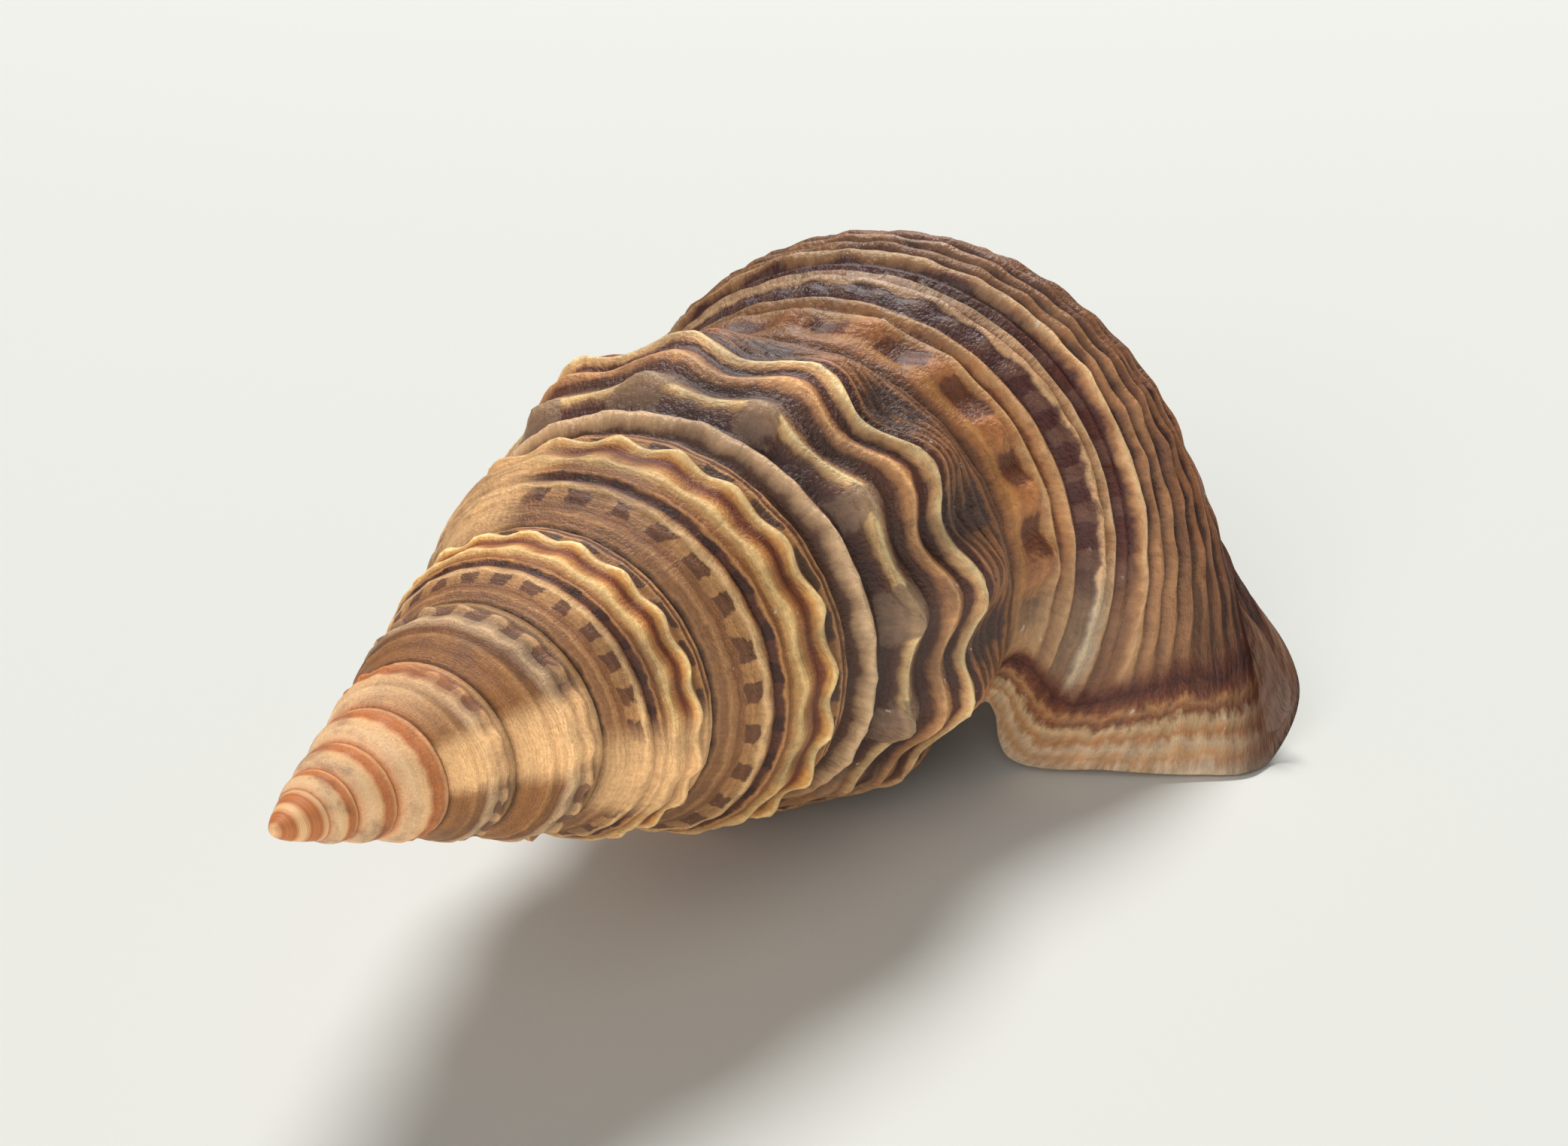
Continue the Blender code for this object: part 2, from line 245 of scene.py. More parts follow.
# The flared lip, the last shell to be laid down: share, then down, out and degrees round the axis
lip_points = np.array((
    (0.00, 25.10, 6.75, 83.0), (0.06, 25.20, 7.00, 78.0), (0.12, 25.40, 7.25, 73.0),
    (0.20, 25.75, 7.75, 74.5), (0.28, 26.15, 8.40, 79.5), (0.35, 26.50, 8.95, 82.0),
    (0.60, 27.30, 11.30, 71.5), (0.85, 28.40, 13.40, 65.0), (1.05, 29.20, 14.55, 62.0),
    (1.20, 30.25, 14.80, 60.5), (1.40, 31.40, 14.20, 52.5), (1.60, 33.20, 11.40, 48.0),
    (1.80, 34.70, 7.40, 50.0), (2.00, 35.80, 3.00, 62.0),
))
lip_whole_turns = 2
flare_turns, flare_power = 0.30, 3.0
kept_relief, kept_relief_turns = 0.7, 0.06
meeting_from_share = 0.76


def lip_curve(column, share):
    # A smooth curve through the lip's points, with each slope taken from the points beside it
    places, values = lip_points[:, 0], lip_points[:, column]
    slopes = np.gradient(values, places)
    i = np.clip(np.searchsorted(places, share, side="right") - 1, 0, len(places) - 2)
    gap = places[i + 1] - places[i]
    q = (share - places[i]) / gap
    start = (2 * q ** 3 - 3 * q ** 2 + 1) * values[i] + (q ** 3 - 2 * q ** 2 + q) * gap * slopes[i]
    end = (3 * q ** 2 - 2 * q ** 3) * values[i + 1] + (q ** 3 - q ** 2) * gap * slopes[i + 1]
    return start + end


def shell_point(turn, share):
    down, out = whorl(turn, share)
    # A whorl's lower edge is drawn on to the upper edge of the next one
    own_down, own_out = whorl(turn, 1.0 + 0.0 * share)
    meet_down, meet_out = whorl(turn + 1.0, 0.0 * share)
    meeting = smooth_step(share, meeting_from_share, 1.0) * (turn < last_turn - 1.0)
    down = down + meeting * (meet_down - own_down)
    out = out + meeting * (meet_out - own_out)
    # The flare draws the whorl out to the lip, and at the very edge it keeps some of the cords' relief
    edge_down, edge_out = whorl(last_turn + 0.0 * turn, share)
    smooth_edge = 1.0 - kept_relief * smooth_step(turn, last_turn - kept_relief_turns, last_turn)
    flare = np.clip((turn - last_turn + flare_turns) / flare_turns, 0.0, 1.0) ** flare_power
    down = down + flare * (lip_curve(1, share) - edge_down * smooth_edge - down * (1.0 - smooth_edge))
    out = out + flare * (lip_curve(2, share) - edge_out * smooth_edge - out * (1.0 - smooth_edge))
    degrees = 360.0 * turn + flare * (lip_curve(3, share) + 360.0 * lip_whole_turns - 360.0 * last_turn)
    return down, out, degrees


# The grid of points, finer towards the lip: first turn, columns to a turn, steps across a whorl
last_whorl_columns, last_whorl_steps, base_steps = 240, 80, 64
bands = (
    (first_turn, 72, 20), (-3.5, 132, 40), (-1.0, 200, last_whorl_steps), (last_turn, 0, last_whorl_steps),
)
skirt_tuck = 0.97
points, turns, shares, reliefs, insides, faces = [], [], [], [], [], []


def add_points(turn, share, inside=0.0, spot=None):
    down, out, degrees = shell_point(turn, share) if spot is None else spot
    start = sum(len(block) for block in turns)
    points.append(np.array((down, out * np.cos(np.radians(degrees)), out * np.sin(np.radians(degrees)))).T)
    turns.append(turn + 0.0 * share)
    shares.append(share + 0.0 * turn)
    reliefs.append(cord_height(turn + 0.0 * share, share) * (1.0 - inside))
    insides.append(inside + 0.0 * share)
    return np.arange(start, start + len(share))


def shares_down(turn, steps):
    # Down the whorl from seam to seam, and on the last whorl down its base as well
    down_whorl = np.linspace(0.0, 1.0, steps + 1)
    if turn < last_turn - 1.0:
        return down_whorl
    return np.concatenate((down_whorl, 1.0 + np.arange(1, base_steps + 1) / base_steps))


def join_rows(first, second):
    # A finer column has two steps for each step of the one before it
    if len(second) == len(first):
        for i in range(len(first) - 1):
            faces.append((first[i], first[i + 1], second[i + 1], second[i]))
    else:
        for i in range(len(first) - 1):
            faces.append((first[i], first[i + 1], second[2 * i + 1]))
            faces.append((first[i], second[2 * i + 1], second[2 * i]))
            faces.append((first[i + 1], second[2 * i + 2], second[2 * i + 1]))


column_turns, column_steps = [], []
for (start, per_turn, steps), (end, _, _) in zip(bands[:-1], bands[1:]):
    if end == last_turn:
        end = last_turn - 1.0
    count = round((end - start) * per_turn)
    column_turns.extend(start + (end - start) * np.arange(count) / count)
    column_steps.extend([steps] * count)
lip_columns = last_turn - 1.0 + np.linspace(0.0, 1.0, last_whorl_columns + 1)
column_turns.extend(lip_columns)
column_steps.extend([last_whorl_steps] * len(lip_columns))

# A narrow skirt under each lower edge tucks in beneath the next whorl, so that no gap shows at the seam
columns, skirts = [], []
for turn, steps in zip(column_turns, column_steps):
    column_shares = shares_down(turn, steps)
    columns.append(add_points(np.full_like(column_shares, turn), column_shares))
    if turn < last_turn - 1.0:
        here, lower_edge = np.full(1, turn), np.ones(1)
        skirt_down, skirt_out, skirt_degrees = shell_point(here, lower_edge)
        skirt_spot = (skirt_down, skirt_out * skirt_tuck, skirt_degrees)
        skirts.append(add_points(here, lower_edge, 0.0, skirt_spot)[0])
for i in range(len(columns) - 1):
    first, second = columns[i], columns[i + 1]
    if column_turns[i] < last_turn - 1.0 <= column_turns[i + 1]:
        second = second[:len(first)]
    join_rows(first, second)
    if i + 1 < len(skirts):
        faces.append((columns[i][-1], skirts[i], skirts[i + 1], columns[i + 1][-1]))


def join_loops(first, second):
    for i in range(len(first)):
        after = (i + 1) % len(first)
        faces.append((first[i], first[after], second[after], second[i]))


def close_loop(loop, turn, share, inside, spot):
    middle = add_points(np.full(1, turn), np.full(1, share), inside, spot)[0]
    for i in range(len(loop)):
        faces.append((loop[i], loop[(i + 1) % len(loop)], middle))


# Tip: the first whorls are worn away, which leaves a blunt round end. The shares swing out and back twice
# over its rings, which gives it two thin rings of colour.
tip_down = 0.80
tip_rings, tip_roundness = 16, 0.6
tip_share, tip_share_swing = 0.5, 0.12
per_turn = bands[0][1]
rim = np.concatenate(([columns[i][0] for i in range(per_turn)], columns[0][:0:-1]))
placed = np.concatenate(points)
rim_down, rim_across = placed[rim, 0], placed[rim, 1:]
rim_out, rim_degrees = np.hypot(*rim_across.T), np.degrees(np.arctan2(rim_across[:, 1], rim_across[:, 0]))
outer_loop = rim
for way in np.linspace(0.0, 1.0, tip_rings + 1)[1:-1]:
    ring_down = tip_down + (rim_down - tip_down) * (1.0 - way)
    spot = (ring_down, rim_out * (1.0 - way) ** tip_roundness, rim_degrees)
    ring_share = tip_share + tip_share_swing * (1.0 - math.cos(4.0 * math.pi * way))
    inner_loop = add_points(np.full(len(rim), first_turn), np.full(len(rim), ring_share), 0.0, spot)
    join_loops(outer_loop, inner_loop)
    outer_loop = inner_loop
close_loop(outer_loop, first_turn, tip_share, 0.0, (np.full(1, tip_down), np.zeros(1), np.zeros(1)))

# Foot: the end of the columella closes over, a little beyond the canal
foot_turn, foot_share, foot_length = 1.7, 2.0, 0.5
edge_column = len(columns) - last_whorl_columns - 1
foot = np.array([columns[i][-1] for i in range(len(columns) - 1, edge_column - 1, -1)])
foot_spot = (np.full(1, canal_down + foot_length), np.zeros(1), np.zeros(1))
close_loop(foot, foot_turn, foot_share, 0.0, foot_spot)

# Opening: the rolled edge of the lip, then the glazed hollow that runs back inside the last whorl
lip_thickness, wall_thickness = 0.60, 0.85
opening_turns, opening_narrowing, opening_rings = 0.30, 0.25, 22
lip_roundness, lip_roll = 1.2, (0.15, 0.4, 0.7)
least_kept = 0.35
plain_rings, glazing_rings = 3, 6.0
lip_shares = shares_down(last_turn, last_whorl_steps)


def opening_section(way, thickness):
    # Down the outer wall and back up beside the columella, drawn in by the wall's thickness
    turn = last_turn - opening_turns * way
    outer, back = lip_shares, lip_shares[:last_whorl_steps - 1:-1]
    turn_there = np.concatenate((np.full(len(outer), turn), np.full(len(back), turn - 1.0)))
    pulled = np.concatenate((
        outer * (1.0 - opening_narrowing * way * outer / 2.0),
        1.0 + (back - 1.0) * (1.0 - opening_narrowing * way),
    ))
    down, out, degrees = shell_point(turn_there, pulled)
    middle_down, middle_out, middle_degrees = down.mean(), out.mean(), degrees.mean()
    reach = np.hypot(down - middle_down, out - middle_out)
    keep = np.maximum(least_kept, 1.0 - thickness / reach)
    down = middle_down + (down - middle_down) * keep
    out = middle_out + (out - middle_out) * keep
    return turn_there, pulled, (down, out, degrees), (middle_down, middle_out, middle_degrees)


outer_loop = np.concatenate((columns[-1], columns[edge_column][:last_whorl_steps - 1:-1]))
for way in lip_roll:
    turn_there, pulled, spot, middle = opening_section(0.0, lip_thickness * way)
    forward = lip_roundness * math.sin(math.pi * way) * (turn_there == last_turn)
    inner_loop = add_points(turn_there, pulled, 0.0, (spot[0], spot[1], spot[2] + forward))
    join_loops(outer_loop, inner_loop)
    outer_loop = inner_loop
for k in range(opening_rings + 1):
    way = k / opening_rings
    thickness = lip_thickness + (wall_thickness - lip_thickness) * way
    turn_there, pulled, spot, middle = opening_section(way, thickness)
    glazed = min(1.0, max(0.0, (k - plain_rings) / glazing_rings))
    inner_loop = add_points(turn_there, pulled, glazed, spot)
    join_loops(outer_loop, inner_loop)
    outer_loop = inner_loop
close_loop(outer_loop, last_turn, 1.0, 1.0, tuple(np.full(1, value) for value in middle))

# The shell is rolled about its axis and tipped on to its resting points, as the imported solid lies
roll_degrees, pitch_degrees = 122.52, 6.15
cone_point = np.array((-0.01834382, 0.00288490, 0.01025331))
roll = math.radians(-90.0 - roll_degrees)
pitch = math.radians(pitch_degrees)
turn_roll = np.array((
    (1.0, 0.0, 0.0), (0.0, math.cos(roll), -math.sin(roll)), (0.0, math.sin(roll), math.cos(roll)),
))
turn_pitch = np.array((
    (math.cos(pitch), 0.0, math.sin(pitch)), (0.0, 1.0, 0.0), (-math.sin(pitch), 0.0, math.cos(pitch)),
))
placed = np.concatenate(points) @ (turn_pitch @ turn_roll).T / 1000.0
placed = placed + cone_point

mesh = bpy.data.meshes.new("grown_shell")
mesh.from_pydata(placed.tolist(), [], [tuple(int(i) for i in face[::-1]) for face in faces])
for name, blocks in (("turn", turns), ("share", shares), ("relief", reliefs), ("inside", insides)):
    values = mesh.attributes.new(name, "FLOAT", "POINT")
    values.data.foreach_set("value", np.concatenate(blocks).astype(np.float32))
mesh.update()
mesh.polygons.foreach_set("use_smooth", [True] * len(mesh.polygons))
shell = bpy.data.objects.new("grown_shell", mesh)
bpy.context.scene.collection.objects.link(shell)


# Shell colours are pigment laid down in bands by the edge of the mantle, under a thin satin skin that is
# smooth on the cords and chalky in the grooves, so the eye sees sharp stripes with soft, broken gloss.
banded = bpy.data.materials.new("banded_aragonite")
banded.use_nodes = True
tree = banded.node_tree
surface = tree.nodes["Principled BSDF"]


def linear(code):
    # An sRGB colour as the linear values that the material works in
    parts = [int(code[i:i + 2], 16) / 255.0 for i in (1, 3, 5)]
    parts = [c / 12.92 if c <= 0.04045 else ((c + 0.055) / 1.055) ** 2.4 for c in parts]
    return (*parts, 1.0)


def add(kind, links, output=0, stops=(), **settings):
    # One node with its settings, its links and any colour stops, given back as one of its outputs
    node = tree.nodes.new("ShaderNode" + kind)
    for name, value in settings.items():
        setattr(node, name, value)
    for place, value in links.items():
        if isinstance(value, bpy.types.NodeSocket):
            tree.links.new(value, node.inputs[place])
        else:
            node.inputs[place].default_value = value
    for i, (place, code) in enumerate(stops):
        if i < 2:
            element = node.color_ramp.elements[i]
            element.position = place
        else:
            element = node.color_ramp.elements.new(place)
        element.color = linear(code)
    return node.outputs[output]


turn = add("Attribute", {}, output=2, attribute_name="turn")
share = add("Attribute", {}, output=2, attribute_name="share")
relief = add("Attribute", {}, output=2, attribute_name="relief")
inside = add("Attribute", {}, output=2, attribute_name="inside")

# One step of a pattern is a fortieth of a turn by an eighth of a whorl, so patterns grow with the shell:
# it is about 1.1 mm on the last whorl and 0.3 mm near the tip
steps_per_turn, steps_per_whorl = 40.0, 8.0
along = add("Math", {0: turn, 1: steps_per_turn}, operation="MULTIPLY")
down_whorl = add("Math", {0: share, 1: steps_per_whorl}, operation="MULTIPLY")
whorl_place = add("CombineXYZ", {0: along, 1: down_whorl})

# The edges of the bands wander a little, as the mantle's edge did, by about 0.1 mm on the last whorl
edge_wander = 0.014
wander = add("TexNoise", {"Vector": whorl_place, "Scale": 1.1, "Detail": 4.0, "Roughness": 0.6})
wander = add("MapRange", {0: wander, 1: 0.3, 2: 0.7, 3: -edge_wander, 4: edge_wander})
edge_share = add("Math", {0: share, 1: wander}, operation="ADD")
coarse = add("TexNoise", {"Vector": whorl_place, "Scale": 0.55, "Detail": 4.0, "Roughness": 0.6})
fine = add("TexNoise", {"Vector": whorl_place, "Scale": 3.2, "Detail": 4.0, "Roughness": 0.65})

# Bands across a whorl at each stage of growth: share of the whorl and colour of the pigment
tip_bands = (
    (0.0, "#CC7D4A"), (0.10, "#EAB483"), (0.30, "#F1C595"), (0.52, "#EFBB85"), (0.64, "#C47340"),
    (0.84, "#C87C47"), (0.94, "#E5AC79"), (1.0, "#BB7444"),
)
young_bands = (
    (0.0, "#734829"), (0.05, "#A66F3D"), (0.22, "#9E6739"), (0.36, "#B27D4A"), (0.44, "#81502D"),
    (0.49, "#B78E69"), (0.56, "#CDAA82"), (0.68, "#B7916C"), (0.76, "#BA9167"), (0.86, "#986D48"),
    (0.92, "#B38A5B"), (0.97, "#8E5E32"), (1.0, "#623E25"),
)
beaded_bands = (
    (0.0, "#573521"), (0.03, "#C08A5C"), (0.07, "#A26E44"), (0.105, "#CB935F"), (0.15, "#A0663A"),
    (0.18, "#B27748"), (0.20, "#CC925A"), (0.27, "#D69C62"), (0.305, "#F6C88E"), (0.35, "#C4824A"),
    (0.366, "#74402A"), (0.412, "#74402A"), (0.43, "#D8985A"), (0.452, "#96582C"), (0.48, "#C48444"),
    (0.54, "#FBD08C"), (0.60, "#E09A54"), (0.655, "#9E5028"), (0.70, "#9E5028"), (0.735, "#EBA85A"),
    (0.775, "#FFDC9C"), (0.808, "#C08044"), (0.89, "#D09458"), (0.905, "#E2A468"), (0.93, "#633823"),
    (0.95, "#9A6038"), (0.968, "#E6AC74"), (1.0, "#633D28"),
)
folded_bands = (
    (0.0, "#663B25"), (0.032, "#6A442E"), (0.048, "#C49C72"), (0.078, "#E4BE94"), (0.100, "#BE9268"),
    (0.122, "#5C382E"), (0.188, "#60382E"), (0.208, "#744A32"), (0.235, "#E4B67C"), (0.26, "#FFE0A4"),
    (0.285, "#CB9A68"), (0.308, "#784C33"), (0.33, "#5E3828"), (0.375, "#643C2A"), (0.40, "#BC8254"),
    (0.43, "#EEB47A"), (0.455, "#C08250"), (0.475, "#603426"), (0.515, "#683A26"), (0.537, "#EEB478"),
    (0.567, "#FFE2A6"), (0.595, "#F0B67A"), (0.612, "#643824"), (0.643, "#5A2E20"), (0.664, "#CC8C5A"),
    (0.69, "#B4784C"), (0.94, "#AA744A"), (0.985, "#885634"), (1.0, "#462819"),
)
last_bands = (
    (0.0, "#70442C"), (0.03, "#B87848"), (0.06, "#D49252"), (0.09, "#B87442"), (0.165, "#C0804C"),
    (0.19, "#F4BC82"), (0.21, "#D8965C"), (0.225, "#965232"), (0.24, "#DC9A60"), (0.265, "#F4BC84"),
    (0.284, "#8E5038"), (0.30, "#643630"), (0.355, "#683A34"), (0.368, "#FFCA94"), (0.395, "#BC8056"),
    (0.415, "#FFCE9A"), (0.432, "#703C2E"), (0.50, "#66322A"), (0.514, "#DC9C66"), (0.533, "#FFD29C"),
    (0.56, "#F6B478"), (0.576, "#502A24"), (0.607, "#DC9E6C"), (0.640, "#4C2824"), (0.675, "#D49868"),
    (0.711, "#4A2826"), (0.75, "#B87E56"), (0.79, "#462624"),
)
tip = add("ValToRGB", {0: edge_share}, stops=tip_bands)
young = add("ValToRGB", {0: edge_share}, stops=young_bands)
beaded = add("ValToRGB", {0: edge_share}, stops=beaded_bands)
folded = add("ValToRGB", {0: edge_share}, stops=folded_bands)
last = add("ValToRGB", {0: edge_share}, stops=last_bands)

# Threads below the folds, and plain brown cords on the base of the last whorl, both darker between
thread_strength = 0.7
thread_shift = 2.0 * math.pi * thread_place / thread_step
thread_wave = add("Math", {0: edge_share, 1: 2.0 * math.pi / thread_step}, operation="MULTIPLY")
thread_wave = add("Math", {0: thread_wave, 1: thread_shift}, operation="SUBTRACT")
thread_wave = add("Math", {0: thread_wave}, operation="COSINE")
thread_mask = add("MapRange", {0: thread_wave, 1: 0.5, 2: -0.5}, interpolation_type="SMOOTHSTEP")
thread_zone = add("MapRange", {0: share, 1: 0.675, 2: 0.69}, interpolation_type="SMOOTHSTEP")
thread_mask = add("Math", {0: thread_mask, 1: thread_zone}, operation="MULTIPLY")
thread_mask = add("Math", {0: thread_mask, 1: thread_strength}, operation="MULTIPLY")
folded = add("Mix", {0: thread_mask, 6: folded, 7: linear("#653925")}, output=2, data_type="RGBA")
base_shift = 2.0 * math.pi * base_cord_place / base_cord_step
base_wave = add("Math", {0: edge_share, 1: 2.0 * math.pi / base_cord_step}, operation="MULTIPLY")
base_wave = add("Math", {0: base_wave, 1: base_shift}, operation="SUBTRACT")
base_wave = add("Math", {0: base_wave}, operation="COSINE")
base_mask = add("MapRange", {0: base_wave, 1: -0.7, 2: 0.6}, interpolation_type="SMOOTHSTEP")
base = add("Mix", {0: base_mask, 6: linear("#442420"), 7: linear("#A66E48")}, output=2, data_type="RGBA")
base_zone = add("MapRange", {0: share, 1: 0.785, 2: 0.80})
last = add("Mix", {0: base_zone, 6: last, 7: base}, output=2, data_type="RGBA")

# Rows of square marks: stage, share from and to, marks to a turn, where each comes, how narrow it is, colour
mark_strength, mark_edge, mark_softness, mark_drift = 0.82, 0.006, 0.25, 1.3
mark_rows = (
    ("young", 0.67, 0.86, 20.0, 0.50, -0.1, "#7A4E3A"),
    ("beaded", 0.190, 0.285, 25.0, 0.50, 0.0, "#623220"),
    ("beaded", 0.360, 0.418, 25.0, 0.25, 0.3, "#4A2518"),
    ("beaded", 0.815, 0.895, 21.5, 0.50, -0.3, "#4C3028"),
    ("folded", 0.150, 0.325, 12.0, 0.00, 0.25, "#92745C"),
    ("folded", 0.66, 0.90, 12.0, 0.50, 0.45, "#664A42"),
    ("last", 0.085, 0.162, 20.0, 0.50, -0.2, "#6E3824"),
    ("last", 0.300, 0.357, 43.0, 0.00, 0.2, "#8A5F4C"),
    ("last", 0.440, 0.500, 32.0, 0.30, 0.4, "#83574A"),
)
bands_by_stage = {"young": young, "beaded": beaded, "folded": folded, "last": last}
unsteady = add("MapRange", {0: coarse, 1: 0.3, 2: 0.7, 3: -mark_drift, 4: mark_drift})
for stage, low, high, per_turn, place, cut, code in mark_rows:
    angle = add("Math", {0: turn, 1: 2.0 * math.pi * per_turn}, operation="MULTIPLY")
    angle = add("Math", {0: angle, 1: unsteady}, operation="ADD")
    angle = add("Math", {0: angle, 1: -2.0 * math.pi * place}, operation="ADD")
    beat = add("Math", {0: angle}, operation="COSINE")
    beat_range = {0: beat, 1: cut - mark_softness, 2: cut + mark_softness}
    beat = add("MapRange", beat_range, interpolation_type="SMOOTHSTEP")
    upper_range = {0: edge_share, 1: low - mark_edge, 2: low + mark_edge}
    upper = add("MapRange", upper_range, interpolation_type="SMOOTHSTEP")
    lower_range = {0: edge_share, 1: high + mark_edge, 2: high - mark_edge}
    lower = add("MapRange", lower_range, interpolation_type="SMOOTHSTEP")
    mark = add("Math", {0: upper, 1: lower}, operation="MULTIPLY")
    mark = add("Math", {0: mark, 1: beat}, operation="MULTIPLY")
    mark = add("Math", {0: mark, 1: mark_strength}, operation="MULTIPLY")
    under = bands_by_stage[stage]
    bands_by_stage[stage] = add("Mix", {0: mark, 6: under, 7: linear(code)}, output=2, data_type="RGBA")

# Each stage of growth gives way to the next between two turns
stage_changes = (
    ("young", -3.25, -2.95), ("beaded", -1.75, -1.45), ("folded", 0.50, 0.62), ("last", 1.20, 1.30),
)
colour = tip
for name, start, end in stage_changes:
    given_way = add("MapRange", {0: turn, 1: start, 2: end}, interpolation_type="SMOOTHSTEP")
    colour = add("Mix", {0: given_way, 6: colour, 7: bands_by_stage[name]}, output=2, data_type="RGBA")

# Growth stops left smooth, pale peach ribs across the young whorls, at every varix but the last
rib_outside, rib_inside, rib_strength = 0.075, 0.035, 0.88
for place in varix_turns[:-1]:
    off = add("Math", {0: turn, 1: place}, operation="SUBTRACT")
    off = add("Math", {0: off}, operation="ABSOLUTE")
    rib = add("MapRange", {0: off, 1: rib_outside, 2: rib_inside}, interpolation_type="SMOOTHSTEP")
    rib = add("Math", {0: rib, 1: rib_strength}, operation="MULTIPLY")
    colour = add("Mix", {0: rib, 6: colour, 7: linear("#EFBC84")}, output=2, data_type="RGBA")

# The flare is paler and greyer, and its bands fade, most of all above its lower end
flare_fading = 0.55
flare = add("MapRange", {0: turn, 1: 2.085, 2: 2.13}, interpolation_type="SMOOTHSTEP")
flare = add("Math", {0: flare, 1: flare_fading}, operation="MULTIPLY")
front_cords = add("MapRange", {0: share, 1: 0.70, 2: 0.95, 3: 1.0, 4: 0.25})
flare_fade = add("Math", {0: flare, 1: front_cords}, operation="MULTIPLY")
flare_bands = (
    (0.0, "#A9835F"), (0.15, "#CDA982"), (0.34, "#BC9B76"), (0.38, "#FFF8DC"), (0.42, "#BC8C64"),
    (0.60, "#D29A6B"), (1.0, "#BC8357"),
)
flare_colour = add("ValToRGB", {0: edge_share}, stops=flare_bands)
colour = add("Mix", {0: flare_fade, 6: colour, 7: flare_colour}, output=2, data_type="RGBA")

# The last layers of the lip are brown, cream and orange, with slightly ragged edges
layer_wander = 0.0040
lip_edge = add("Math", {0: coarse, 1: fine}, operation="ADD")
lip_edge = add("MapRange", {0: lip_edge, 1: 0.7, 2: 1.3, 3: -layer_wander, 4: layer_wander})
lip_edge = add("Math", {0: turn, 1: lip_edge}, operation="ADD")
lip_way = add("MapRange", {0: lip_edge, 1: 2.155, 2: last_turn})
lip_layers = (
    (0.0, "#A36E49"), (0.14, "#82452E"), (0.26, "#5C2A1B"), (0.38, "#935233"), (0.46, "#D29661"),
    (0.54, "#A05E37"), (0.62, "#EFC794"), (0.72, "#DB985F"), (0.80, "#EFCDA3"), (0.90, "#E2A872"),
    (1.0, "#EFCFAC"),
)
lip_colour = add("ValToRGB", {0: lip_way}, stops=lip_layers)
lip = add("MapRange", {0: lip_edge, 1: 2.150, 2: 2.166}, interpolation_type="SMOOTHSTEP")
colour = add("Mix", {0: lip, 6: colour, 7: lip_colour}, output=2, data_type="RGBA")

# Painted shade: the lower end of the flare, turned away from the light, is painted darker, and so is the
# small pocket where the lip leaves the whorl above, as shade in the hollow
end_shade_strength = 1.7
# The flare's lower end is darkened here as painted shade
end_painted_shade = add("MapRange", {0: edge_share, 1: 0.86, 2: 1.12}, interpolation_type="SMOOTHSTEP")
end_painted_shade = add("Math", {0: end_painted_shade, 1: flare}, operation="MULTIPLY")
end_painted_shade = add("Math", {0: end_painted_shade, 1: end_shade_strength}, operation="MULTIPLY", use_clamp=True)
end_shade_mix = {0: end_painted_shade, 6: colour, 7: linear("#9C8C90")}
colour = add("Mix", end_shade_mix, output=2, data_type="RGBA", blend_type="MULTIPLY")
# The pocket under the lip's upper end is darkened here as painted shade
pocket_painted_shade = add("MapRange", {0: share, 1: 0.075, 2: 0.035}, interpolation_type="SMOOTHSTEP")
pocket_shade_from = add("MapRange", {0: turn, 1: 2.12, 2: 2.15}, interpolation_type="SMOOTHSTEP")
pocket_painted_shade = add("Math", {0: pocket_painted_shade, 1: pocket_shade_from}, operation="MULTIPLY")
colour = add("Mix", {0: pocket_painted_shade, 6: colour, 7: linear("#22120C")}, output=2, data_type="RGBA")

# Painted light and shade, with dirt and wear: the crests are painted paler as if lit, the grooves are painted
# darker as shade and dirt, and the pigment is streaked along growth lines, which lie from about 0.1 mm apart
# on the spire to 0.2 mm on the last whorl
growth_lines_per_turn = 260.0
# Painted shade in the grooves, lighter near the tip, and painted light on the crests, both set by cord relief
groove_painted_shade = add("MapRange", {0: turn, 1: -3.6, 2: -2.4, 3: 0.92, 4: 0.58})
crest_light_groove_shade = add("MapRange", {0: relief, 1: -0.022, 2: 0.040, 3: groove_painted_shade, 4: 1.40})
line_place = add("Math", {0: turn, 1: growth_lines_per_turn}, operation="MULTIPLY")
streak_place = add("CombineXYZ", {0: line_place, 1: down_whorl})
streak = add("TexNoise", {"Vector": streak_place, "Scale": 1.0, "Detail": 3.0})
streak = add("MapRange", {0: streak, 1: 0.25, 2: 0.75, 3: 0.88, 4: 1.12})
speckle = add("MapRange", {0: fine, 1: 0.3, 2: 0.7, 3: 0.84, 4: 1.20})
stain = add("TexNoise", {"Vector": whorl_place, "Scale": 0.16, "Detail": 5.0, "Roughness": 0.62})
stain = add("MapRange", {0: stain, 1: 0.48, 2: 0.66, 4: 0.45}, interpolation_type="SMOOTHSTEP")
colour = add("Mix", {0: stain, 6: colour, 7: linear("#5E4036")}, output=2, data_type="RGBA")
strength = add("Math", {0: crest_light_groove_shade, 1: streak}, operation="MULTIPLY")
strength = add("Math", {0: strength, 1: speckle}, operation="MULTIPLY")

# Fine spiral threads run all over the shell, from about 0.1 mm apart on the spire to 0.3 mm on the last whorl
fine_thread_step = 0.033
thread = add("Math", {0: edge_share, 1: 2.0 * math.pi / fine_thread_step}, operation="MULTIPLY")
thread = add("Math", {0: thread}, operation="COSINE")
thread_depth = add("MapRange", {0: coarse, 1: 0.35, 2: 0.65, 3: 0.86, 4: 0.99})
thread_range = {0: thread, 1: -0.7, 2: 0.3, 3: thread_depth, 4: 1.03}
thread = add("MapRange", thread_range, interpolation_type="SMOOTHSTEP")
strength = add("Math", {0: strength, 1: thread}, operation="MULTIPLY")

# The small young whorls are rubbed paler than the rest
rubbed = add("MapRange", {0: turn, 1: -1.7, 2: -0.4, 3: 1.45, 4: 1.0})
strength = add("Math", {0: strength, 1: rubbed}, operation="MULTIPLY")
# The colour takes all these factors here, the painted crest light and groove shade among them
colour = add("Mix", {0: 1.0, 6: colour, 7: strength}, output=2, data_type="RGBA", blend_type="MULTIPLY")

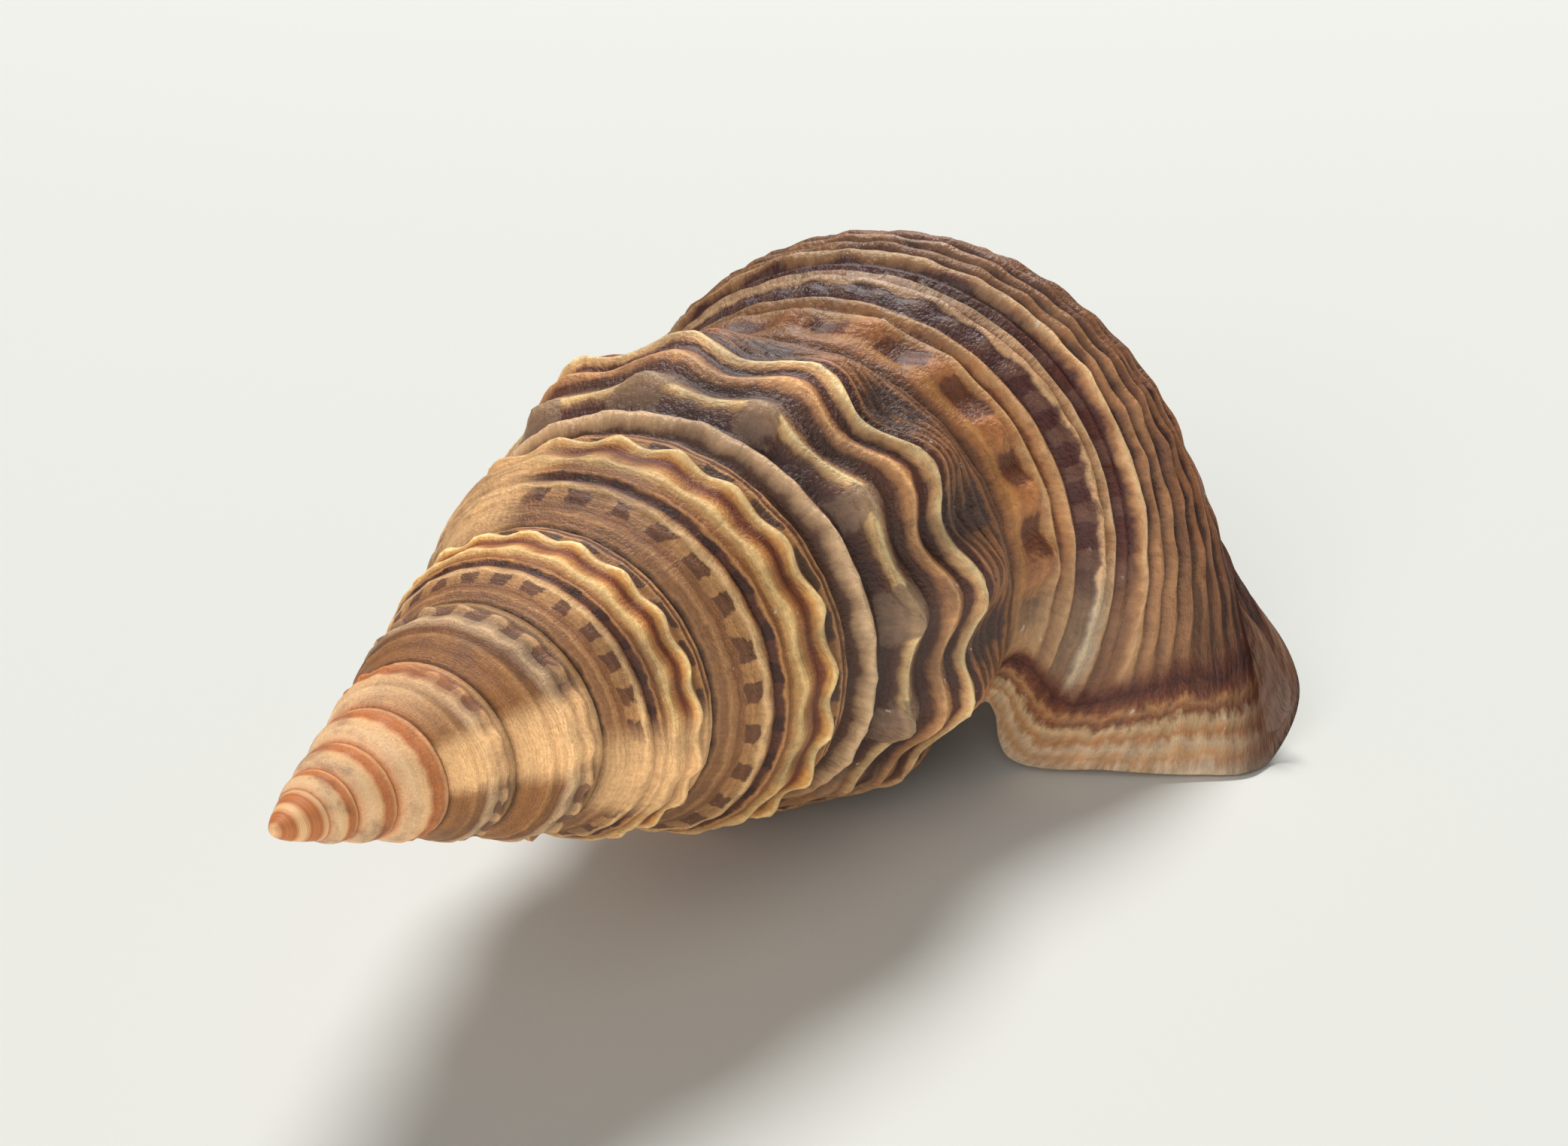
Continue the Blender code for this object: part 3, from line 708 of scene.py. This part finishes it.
# A few white grains of lime crust, about 0.1 to 0.2 mm across, cling to the larger whorls
grains = add("TexVoronoi", {"Vector": whorl_place, "Scale": 1.6})
grains = add("MapRange", {0: grains, 1: 0.19, 2: 0.13})
grain_zone = add("MapRange", {0: turn, 1: -2.2, 2: -1.8, 4: 0.85})
grain_patch = add("MapRange", {0: fine, 1: 0.60, 2: 0.64})
grains = add("Math", {0: grains, 1: grain_zone}, operation="MULTIPLY")
grains = add("Math", {0: grains, 1: grain_patch}, operation="MULTIPLY")
colour = add("Mix", {0: grains, 6: colour, 7: linear("#E6DCD0")}, output=2, data_type="RGBA")

# Inside the opening the snail laid a smooth cream glaze over everything
glaze = add("Mix", {0: coarse, 6: linear("#C9AE8C"), 7: linear("#E6D8C2")}, output=2, data_type="RGBA")
colour = add("Mix", {0: inside, 6: colour, 7: glaze}, output=2, data_type="RGBA")
tree.links.new(colour, surface.inputs["Base Color"])

# The skin is satin, with a low relief of growth lines, fine threads, grains and wear, all under 0.2 mm
bump_strength, bump_depth = 0.48, 0.00018
gloss = add("MapRange", {0: fine, 1: 0.3, 2: 0.7, 3: 0.40, 4: 0.60})
tree.links.new(gloss, surface.inputs["Roughness"])
surface.inputs["IOR"].default_value = 1.53
surface.inputs["Coat Weight"].default_value = 0.06
surface.inputs["Coat Roughness"].default_value = 0.22
grain = add("TexNoise", {"Vector": whorl_place, "Scale": 9.0, "Detail": 3.0})
height = add("Math", {0: streak, 1: grain}, operation="ADD")
height = add("Math", {0: height, 1: fine}, operation="ADD")
height = add("Math", {0: height, 1: thread}, operation="ADD")
worn = add("TexNoise", {"Vector": whorl_place, "Scale": 1.7, "Detail": 5.0, "Roughness": 0.7})
height = add("Math", {0: height, 1: worn}, operation="ADD")
bump = add("Bump", {"Height": height, "Strength": bump_strength, "Distance": bump_depth})
tree.links.new(bump, surface.inputs["Normal"])
mesh.materials.append(banded)
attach(shell, "root")
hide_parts("cerith_shell")

# Floor: a plain pale board, painted matt and laid flat for the shell to rest on. Its low sheen lets the
# shell's soft shadow show. It is scenery and not part of the object.
floor_half = 1.5
floor_mesh = bpy.data.meshes.new("pale_floor")
floor_top = min(0.0, float(placed[:, 2].min()))
corners = [(-floor_half, -floor_half, floor_top), (floor_half, -floor_half, floor_top)]
corners += [(floor_half, floor_half, floor_top), (-floor_half, floor_half, floor_top)]
floor_mesh.from_pydata(corners, [], [(0, 1, 2, 3)])
floor = bpy.data.objects.new("pale_floor", floor_mesh)
bpy.context.scene.collection.objects.link(floor)
board = bpy.data.materials.new("matt_white_board")
board.use_nodes = True
board_surface = board.node_tree.nodes["Principled BSDF"]
board_surface.inputs["Base Color"].default_value = linear("#EFF0EA")
board_surface.inputs["Roughness"].default_value = 0.9
board_surface.inputs["Specular IOR Level"].default_value = 0.1
floor_mesh.materials.append(board)

# Light: a wide soft lamp above and behind the shell, a wider and weaker one lower down in front of it, and
# pale light from all round. A lamp's row is its name, its place and width in metres, and its watts.
bpy.context.scene.view_settings.view_transform = "Standard"
lamps = (
    ("soft_lamp", (0.58, 0.16, 0.96), 0.46, 10.6),
    ("fill_lamp", (-0.80, -0.14, 0.50), 0.80, 3.7),
)
for name, place, size, power in lamps:
    lamp_data = bpy.data.lights.new(name, "AREA")
    lamp_data.shape = "DISK"
    lamp_data.size = size
    lamp_data.energy = power
    lamp = bpy.data.objects.new(name, lamp_data)
    bpy.context.scene.collection.objects.link(lamp)
    lamp.location = place
    lamp.rotation_euler = (-lamp.location).to_track_quat("-Z", "Y").to_euler()
sky = bpy.data.worlds.new("pale_room")
bpy.context.scene.world = sky
sky.use_nodes = True
sky.node_tree.nodes["Background"].inputs["Color"].default_value = linear("#F4F5F0")
sky.node_tree.nodes["Background"].inputs["Strength"].default_value = 0.11

# Camera: beside the tip and above it, looking slantwise along the shell and down, as the photograph does
camera_data = bpy.data.cameras.new("camera")
camera_data.lens = 51.7986
camera_data.sensor_width = 36.0
camera_data.sensor_fit = "HORIZONTAL"
camera_data.clip_start = 0.001
camera = bpy.data.objects.new("camera", camera_data)
bpy.context.scene.collection.objects.link(camera)
camera.location = (-0.04817759, -0.02827296, 0.03344798)
camera.rotation_euler = tuple(math.radians(a) for a in (66.53431, 4.27662, -61.38658))
bpy.context.scene.camera = camera
